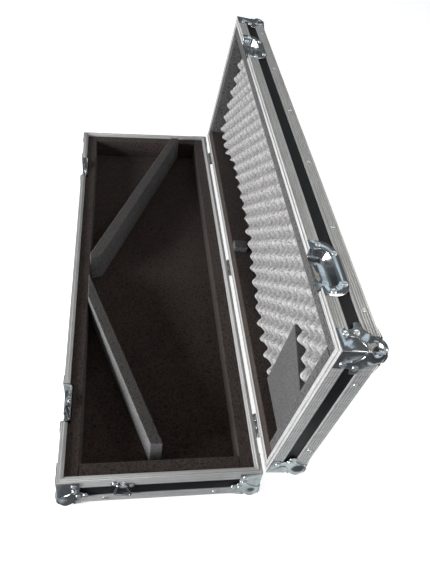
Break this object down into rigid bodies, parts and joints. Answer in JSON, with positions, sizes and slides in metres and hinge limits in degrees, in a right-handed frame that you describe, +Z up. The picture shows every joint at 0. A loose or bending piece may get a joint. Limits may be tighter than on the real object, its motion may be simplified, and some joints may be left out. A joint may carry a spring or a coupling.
{
  "type": "instrument flight case",
  "caption": "Long shallow flight case with a hinged lid, recessed twist latches, ball corners, aluminium edge extrusions and shaped foam lining.",
  "frame": {"origin": "on the ground, at the centre of the four ball corners that the base stands on", "axes": "+X towards the hinged long side, +Y along the case towards the end away from the front ring, +Z up; the lid is at rest standing open"},
  "size_m": [0.453, 1.015, 0.4178],
  "materials": {
    "laminate": "black stippled phenolic film on birch plywood",
    "extrusion": "clear-anodised aluminium, satin, drawn lines along its length",
    "hardware": "bright zinc-plated pressed steel",
    "rivets": "bright steel rivet heads",
    "lining_foam": "charcoal polyether foam, fine open cells",
    "wave_foam": "grey wave-cut acoustic foam",
    "block_foam": "dark firm foam block"
  },
  "bodies": {
    "base": {"base_back_rim": "extrusion", "base_ball_corners": "hardware", "base_corner_angles": "extrusion", "base_corner_braces": "hardware", "base_end_angles": "extrusion", "base_end_boards": "laminate", "base_end_liners": "lining_foam", "base_floor_board": "laminate", "base_floor_foam": "lining_foam", "base_front_rim": "extrusion", "base_hinge_leaves": "hardware", "base_large_rivets": "rivets", "base_left_board": "laminate", "base_left_liner": "lining_foam", "base_left_rim": "extrusion", "base_right_board": "laminate", "base_right_liner": "lining_foam", "base_right_rim": "extrusion", "base_side_angles": "extrusion", "base_small_rivets": "rivets", "far_latch_dish": "hardware", "hinge_pins": "hardware", "lower_cradle_foam": "lining_foam", "near_latch_dish": "hardware", "strap_ring_plates": "hardware", "upper_cradle_foam": "lining_foam"},
    "lid": {"far_keeper_dish": "hardware", "keeper_strikes": "hardware", "lid_back_rim": "extrusion", "lid_backing_foam": "lining_foam", "lid_ball_corners": "hardware", "lid_corner_angles": "extrusion", "lid_corner_braces": "hardware", "lid_end_angles": "extrusion", "lid_end_boards": "laminate", "lid_end_liners": "lining_foam", "lid_foam_block": "block_foam", "lid_front_rim": "extrusion", "lid_hinge_leaves": "hardware", "lid_large_rivets": "rivets", "lid_left_board": "laminate", "lid_left_liner": "lining_foam", "lid_left_rim": "extrusion", "lid_right_board": "laminate", "lid_right_liner": "lining_foam", "lid_right_rim": "extrusion", "lid_side_angles": "extrusion", "lid_side_spacer": "block_foam", "lid_small_rivets": "rivets", "lid_top_board": "laminate", "lid_wave_foam": "wave_foam", "near_keeper_dish": "hardware"},
    "near_rotor": {"near_latch_rotor": "hardware"},
    "near_wing": {"near_latch_wing": "hardware"},
    "near_hook": {"near_latch_hook": "hardware"},
    "far_rotor": {"far_latch_rotor": "hardware"},
    "far_wing": {"far_latch_wing": "hardware"},
    "far_hook": {"far_latch_hook": "hardware"},
    "near_ring": {"near_strap_ring": "hardware"},
    "far_ring": {"far_strap_ring": "hardware"}
  },
  "joints": [
    {"name": "lid_hinge", "type": "hinge", "parent": "base", "child": "lid", "pos_m": [0.1708, 0, 0.08055], "axis": [0, 1, 0], "range_deg": [-96.8, 0]},
    {"name": "near_latch_turn", "type": "hinge", "parent": "base", "child": "near_rotor", "pos_m": [-0.1631, -0.3515, 0.05595], "axis": [-1, 0, 0], "range_deg": [0, 180]},
    {"name": "near_wing_fold", "type": "hinge", "parent": "near_rotor", "child": "near_wing", "pos_m": [-0.1647, -0.3515, 0.05595], "axis": [0, 1, 0], "range_deg": [0, 90]},
    {"name": "near_hook_swing", "type": "hinge", "parent": "base", "child": "near_hook", "pos_m": [-0.1574, -0.3515, 0.03785], "axis": [0, 1, 0], "range_deg": [0, 3.4]},
    {"name": "far_latch_turn", "type": "hinge", "parent": "base", "child": "far_rotor", "pos_m": [-0.1631, 0.345, 0.05595], "axis": [-1, 0, 0], "range_deg": [0, 180]},
    {"name": "far_wing_fold", "type": "hinge", "parent": "far_rotor", "child": "far_wing", "pos_m": [-0.1647, 0.345, 0.05595], "axis": [0, 1, 0], "range_deg": [0, 90]},
    {"name": "far_hook_swing", "type": "hinge", "parent": "base", "child": "far_hook", "pos_m": [-0.1574, 0.345, 0.03785], "axis": [0, 1, 0], "range_deg": [0, 3.4]},
    {"name": "near_ring_swing", "type": "hinge", "parent": "base", "child": "near_ring", "pos_m": [-0.0625, -0.5035, 0.06685], "axis": [-0.9613, 0, 0.2756], "range_deg": [0, 165]},
    {"name": "far_ring_swing", "type": "hinge", "parent": "base", "child": "far_ring", "pos_m": [-0.0625, 0.5035, 0.06685], "axis": [0.9613, 0, -0.2756], "range_deg": [0, 165]}
  ],
  "couplings": [
    {"joint": "near_hook_swing", "follows": "near_latch_turn", "ratio": 0.018889},
    {"joint": "far_hook_swing", "follows": "far_latch_turn", "ratio": 0.018889}
  ]
}
